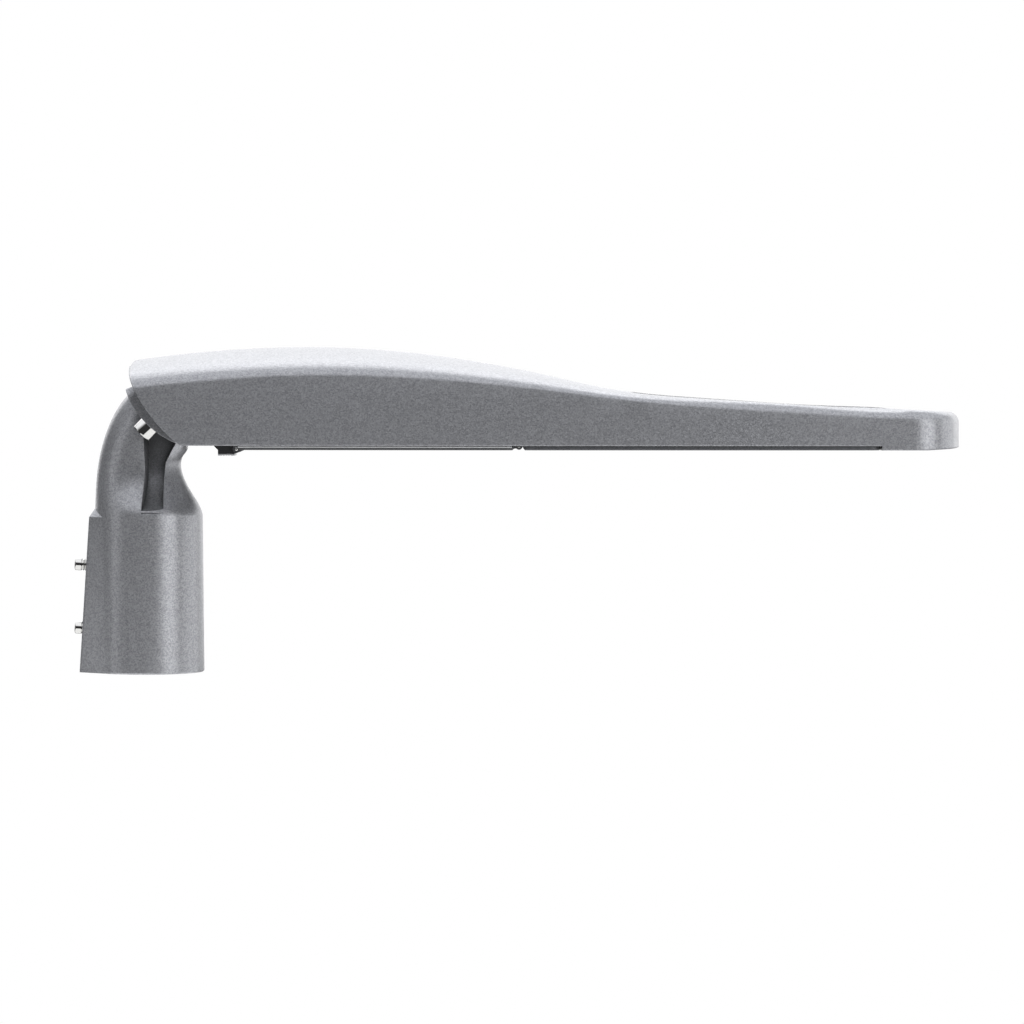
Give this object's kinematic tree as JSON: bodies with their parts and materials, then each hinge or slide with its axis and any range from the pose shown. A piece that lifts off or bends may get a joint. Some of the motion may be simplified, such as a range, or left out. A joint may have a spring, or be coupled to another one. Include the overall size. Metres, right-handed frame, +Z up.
{
  "type": "led street light",
  "caption": "Flat LED street light head with a hinged gear door below, on a tilting pole-top adapter that clamps over the end of a pole.",
  "frame": {"origin": "centre of the pole socket's mouth", "axes": "+Z up the pole's axis, +X along the head to its nose, +Y to the head's left seen from the pole"},
  "size_m": [0.6771, 0.256, 0.2492],
  "materials": {
    "cast_housing": "die-cast, fine-texture metallic powder coat, silver grey",
    "cast_adapter": "die-cast, fine-texture metallic powder coat, silver grey",
    "bright_screws": "polished stainless steel",
    "steel_pins": "drawn stainless steel",
    "zinc_sheet": "mill finish sheet",
    "driver_case": "painted metal case, filled",
    "black_nylon": "fine moulded grain",
    "grey_nylon": "fine moulded grain",
    "white_nylon": "smooth moulded",
    "latch_grey": "silver grey paint",
    "brass_blades": "tinned edge, bright",
    "black_rubber": "matt",
    "seal_silicone": "matt silicone",
    "board_white": "white solder resist on a metal core",
    "led_phosphor": "yellow phosphor on a white package",
    "lens_acrylic": "clear moulded acrylic",
    "flat_glass": "clear toughened flat glass",
    "lead_insulation": "smooth insulation"
  },
  "bodies": {
    "adapter": {"pole_adapter": "cast_adapter"},
    "head": {"upper_housing": "cast_housing", "glass_frame": "cast_housing", "tilt_bolts": "bright_screws", "saddle_washers": "bright_screws", "frame_screws": "bright_screws", "cable_clamp_screws": "bright_screws", "tray_screws": "bright_screws", "driver_screws": "bright_screws", "module_screws": "bright_screws", "strike_screws": "bright_screws", "earth_screw": "brass_blades", "hinge_pins": "steel_pins", "latch_strike": "steel_pins", "gear_tray": "zinc_sheet", "led_driver": "driver_case", "surge_protector": "black_nylon", "terminal_block": "white_nylon", "isolator_socket": "grey_nylon", "cable_clamp": "black_nylon", "breather_vent": "black_nylon", "cable_grommet": "black_rubber", "lead_gland": "black_rubber", "door_gasket": "seal_silicone", "glass_gasket": "seal_silicone", "window_glass": "flat_glass", "gear_leads": "lead_insulation", "driver_lead": "lead_insulation", "led_board_1": "board_white", "led_chips_1": "led_phosphor", "lens_array_1": "lens_acrylic", "led_board_2": "board_white", "led_chips_2": "led_phosphor", "lens_array_2": "lens_acrylic", "led_board_3": "board_white", "led_chips_3": "led_phosphor", "lens_array_3": "lens_acrylic"},
    "gear_door": {"gear_door": "cast_housing", "isolator_blades": "brass_blades", "latch_pin": "steel_pins"},
    "latch": {"latch_lever": "black_nylon", "latch_plate": "latch_grey"},
    "clamp_screw_upper": {"clamp_screw_upper": "bright_screws"},
    "clamp_screw_lower": {"clamp_screw_lower": "bright_screws"}
  },
  "joints": [
    {"name": "head_tilt", "type": "hinge", "parent": "adapter", "child": "head", "pos_m": [0.05, 0, 0.2385], "axis": [0, -1, 0], "range_deg": [-5, 15]},
    {"name": "door_hinge", "type": "hinge", "parent": "head", "child": "gear_door", "pos_m": [0.2835, 0, 0.1745], "axis": [0, -1, 0], "range_deg": [0, 90]},
    {"name": "latch_turn", "type": "hinge", "parent": "gear_door", "child": "latch", "pos_m": [0.0682, 0, 0.1712], "axis": [0, -1, 0], "range_deg": [0, 60]},
    {"name": "clamp_screw_upper_slide", "type": "slide", "parent": "adapter", "child": "clamp_screw_upper", "axis": [0.9982, 0, -0.0606], "range_m": [-0.006, 0.009]},
    {"name": "clamp_screw_lower_slide", "type": "slide", "parent": "adapter", "child": "clamp_screw_lower", "axis": [0.9982, 0, -0.0606], "range_m": [-0.006, 0.009]}
  ]
}
